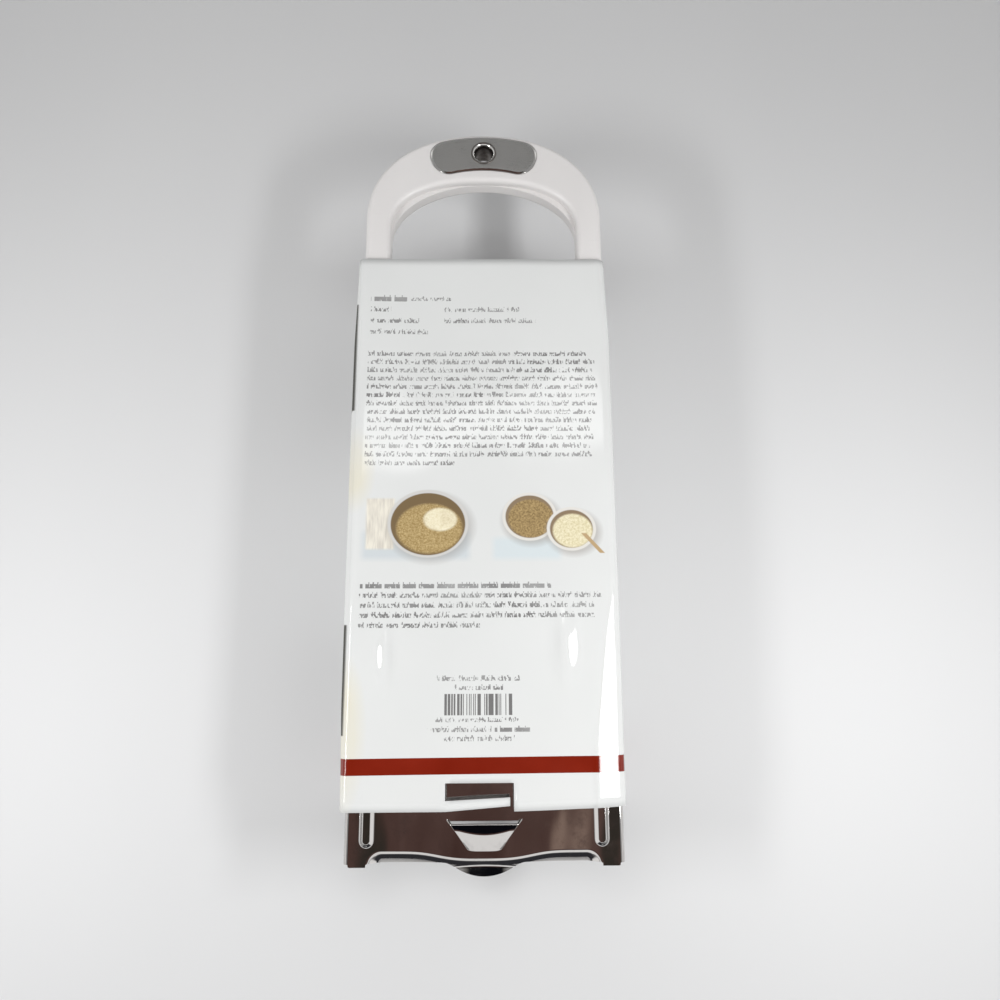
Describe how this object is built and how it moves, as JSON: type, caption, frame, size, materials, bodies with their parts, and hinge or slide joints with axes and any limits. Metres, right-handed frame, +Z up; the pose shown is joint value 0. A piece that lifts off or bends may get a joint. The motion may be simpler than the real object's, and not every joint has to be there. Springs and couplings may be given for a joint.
{
  "type": "spaetzle maker",
  "caption": "Slide-type spaetzle maker: perforated steel bed with side rails, sliding square hopper and plastic loop handle, held in an open card sleeve.",
  "frame": {"origin": "middle of the object's outline, on the surface it lies on, under the card sleeve's lower panel", "axes": "+X across the bed, +Y along it towards the handle, +Z up, out of the underside of the bed; the hopper hangs below the bed"},
  "size_m": [0.119, 0.348, 0.0641],
  "materials": {
    "bed_steel": "mirror-polished stainless sheet",
    "handle_plastic": "satin white",
    "badge_steel": "fine brushed, with a bright bevel",
    "eyelet_steel": "bright, rolled",
    "hopper_steel": "brushed stainless sheet",
    "rivet_steel": "bright",
    "sleeve_card": "coated white card with a printed panel"
  },
  "bodies": {
    "bed": {"bed_plate": "bed_steel", "handle_back_shell": "handle_plastic", "handle_front_shell": "handle_plastic", "badge_plate_back": "badge_steel", "badge_plate_front": "badge_steel", "hanging_eyelet": "eyelet_steel", "handle_rivets": "rivet_steel"},
    "hopper": {"hopper_body": "hopper_steel", "hopper_rim_wire": "hopper_steel", "hopper_runner_left": "hopper_steel", "hopper_runner_right": "hopper_steel", "runner_rivets": "rivet_steel"},
    "sleeve": {"card_sleeve": "sleeve_card"}
  },
  "joints": [
    {"name": "hopper_slide", "type": "slide", "parent": "bed", "child": "hopper", "axis": [0, 1, 0], "range_m": [-0.0925, 0.0615]},
    {"name": "sleeve_slide", "type": "slide", "parent": "bed", "child": "sleeve", "axis": [0, 1, 0], "range_m": [0, 0.33]}
  ]
}
